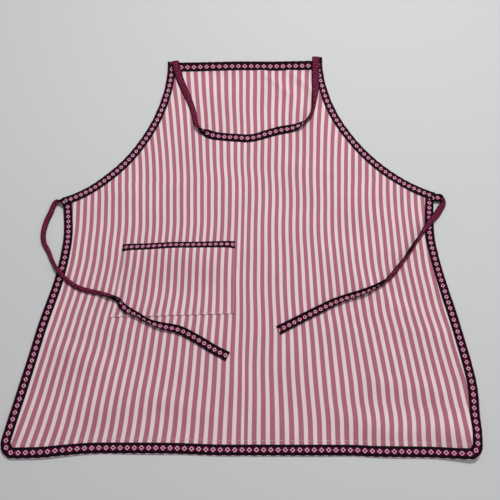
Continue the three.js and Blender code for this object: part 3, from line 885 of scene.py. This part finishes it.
def free_ribbon(name, route, corner, tree, face, reverse, tuck=(0, 0), hem=0):
    """A loose ribbon along its route, turning about its own line and curling across it. tuck lowers its ends
    into their folds, and hem is how much of its far end is turned under."""
    line = through([(corner[0] + x, corner[1] + y, turn, curl) for x, y, turn, curl in route], 2.0)
    turn, curl = np.radians(line[:, 2]), np.radians(line[:, 3])
    along = lengths(line)
    across = np.linspace(-0.5, 0.5, 13)
    breadth, depth, lean, face_on = section(curl, across)
    height = laid(line, turn, breadth, depth, tree)
    height -= tuck[0] * np.exp(-((along / 2.2) ** 2)) + tuck[1] * np.exp(-(((along[-1] - along) / 2.2) ** 2))
    centre = np.column_stack([line[:, :2], height])
    side = np.column_stack([left_of(line), np.zeros(len(line))])
    way = np.gradient(centre, axis=0)
    way /= np.linalg.norm(way, axis=1)[:, None]
    up = np.cross(way, side)
    turn = turn[:, None]
    cross = (np.cos(turn) * side + np.sin(turn) * up)[:, None]
    normal = (np.cos(turn) * up - np.sin(turn) * side)[:, None]
    ripple = 0.25 * np.sin(along / 9 + 1.0)[:, None] * np.cos(math.pi * across)
    body = centre[:, None] + cross * breadth[..., None] + normal * (depth + ripple)[..., None]
    facing = cross * lean[..., None] + normal * face_on[..., None]
    fold = RIBBON_THICK * smooth((along - along[-1] + hem) / 0.8) if hem else np.zeros(len(along))
    lifted = np.array((0, 0, 1)) * fold[:, None, None]
    top = body + facing * RIBBON_THICK / 2 + lifted
    bottom = body - facing * (RIBBON_THICK / 2 + fold)[:, None, None] + lifted
    figure = figure_along(line)
    uv = np.dstack([np.broadcast_to(figure[:, None], breadth.shape),
                    np.broadcast_to((across + 0.5) * RIBBON_WIDTH, breadth.shape)])
    return plate(name, top, bottom, uv, [face, reverse]), centre, top


def cross_seam(name, top, navy):
    """The two rows of stitches across a tie's end, where it is turned under."""
    rows = [top[-1 - back][1:-1] + (0, 0, 0.05) for back in (3, 4)]
    return stitches(name, rows, navy)


def strap_and_ties(tree, face, reverse, navy):
    left_fold, right_fold = LEFT_ARMHOLE[-1], RIGHT_ARMHOLE[-1]
    strap, path, _ = free_ribbon("neck_strap_ribbon", NECK_STRAP, (BIB_SHIFT, LEFT_BIB), tree, face, reverse,
                                 tuck=(0.9, 0.9))
    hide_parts("neck_strap")
    path = to_frame(path)
    fold = np.array((BIB_SHIFT, LEFT_BIB + BIB_RISE / 2 - BIB_SINK + 2, 5))
    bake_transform(strap)
    for side, route, fold, node, length in (("left", LEFT_TIE, left_fold, "tie_end_stitch_left", 0.475),
                                            ("right", RIGHT_TIE, right_fold, "tie_end_stitch_right", 0.41)):
        tie, path, top = free_ribbon(f"tie_ribbon_{side}", route, fold, tree, face, reverse, hem=8)
        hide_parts("tie_" + side)
        path = to_frame(path)
        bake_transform(tie)
        seam = cross_seam(f"seam_tie_end_{side}", top, navy)
        finish_piece(seam, side + "_tie", "dark_thread", node)


# ---- The room

def camera():
    """Looks down at the apron from beyond its hem, 70 degrees above the floor."""
    seen = bpy.data.cameras.new("camera")
    seen.lens = 36
    seen.sensor_width = 36
    seen.shift_x = 0.014
    made = bpy.data.objects.new("camera", seen)
    made.location = (0, -0.3334, 0.8047)
    made.rotation_euler = (math.radians(20), 0, 0)
    bpy.context.scene.collection.objects.link(made)
    bpy.context.scene.camera = made


def backdrop_paper():
    """Matt white background paper, laid flat: even and pale, with only the faintest tooth."""
    material = bpy.data.materials.new("backdrop_paper")
    material.use_nodes = True
    tree = material.node_tree
    tree.nodes.clear()
    place = add(tree, "TexCoord", {}).node.outputs["Object"]
    tooth = add(tree, "TexNoise", {"Vector": place, "Scale": 900.0, "Detail": 2.0})
    cloud = add(tree, "TexNoise", {"Vector": place, "Scale": 1.3, "Detail": 1.0})
    paper = add(tree, "Mix", {0: cloud, 6: linear("#CBCCCD"), 7: linear("#D2D2D2")}, data_type="RGBA")
    colour = paper.node.outputs[2]
    normal = add(tree, "Bump", {"Height": tooth, "Distance": 0.0001, "Strength": 0.5})
    shader = add(tree, "BsdfPrincipled", {"Base Color": colour, "Roughness": 0.85, "Normal": normal,
                                          "Specular IOR Level": 0.2})
    add(tree, "OutputMaterial", {"Surface": shader})
    return material


def floor():
    half = 30.0
    mesh = bpy.data.meshes.new("floor")
    corners = [(-half, -half, 0), (half, -half, 0), (half, half, 0), (-half, half, 0)]
    mesh.from_pydata(corners, [], [(0, 1, 2, 3)])
    mesh.materials.append(backdrop_paper())
    made = bpy.data.objects.new("floor", mesh)
    bpy.context.scene.collection.objects.link(made)


def soft_light(name, place, target, size, watts):
    lamp = bpy.data.lights.new(name, "AREA")
    lamp.shape = "DISK"
    lamp.size = size
    lamp.energy = watts
    made = bpy.data.objects.new(name, lamp)
    made.location = place
    made.rotation_euler = (Vector(target) - Vector(place)).to_track_quat("-Z", "Y").to_euler()
    bpy.context.scene.collection.objects.link(made)


def studio():
    bpy.context.scene.view_settings.view_transform = "Standard"
    world = bpy.data.worlds.new("studio")
    world.use_nodes = True
    bpy.context.scene.world = world
    background = world.node_tree.nodes["Background"]
    background.inputs["Color"].default_value = linear("#E2E4E8")
    background.inputs["Strength"].default_value = 0.35
    soft_light("window", (0.3, 0.9, 1.9), (0, 0.05, 0), 0.5, 30)
    soft_light("fill", (1.6, -0.5, 1.7), (0, 0, 0), 1.6, 7)


# ---- Making it all

camera()
cotton = striped_cotton()
face = ribbon_face()
reverse = ribbon_reverse()
# Each thread's two colours are its painted shade in the ply grooves and its painted highlight on the ply crests.
navy = sewing_thread("navy_thread", "#07040D", "#1A1428")
pale = sewing_thread("off_white_thread", "#C4B4BA", "#E6DADE")

panel = front_panel(cotton)
trims = sewn_ribbons(face, reverse, navy)
pocket_panel, pocket_pieces = pocket(cotton, face, reverse, navy, pale)
tree = ground_under([panel, pocket_panel, *trims, *pocket_pieces])
strap_and_ties(tree, face, reverse, navy)
trims.append(hem_seam(pale))
finish_piece(panel, "apron", "striped_cotton", "front_panel")
floor()
studio()
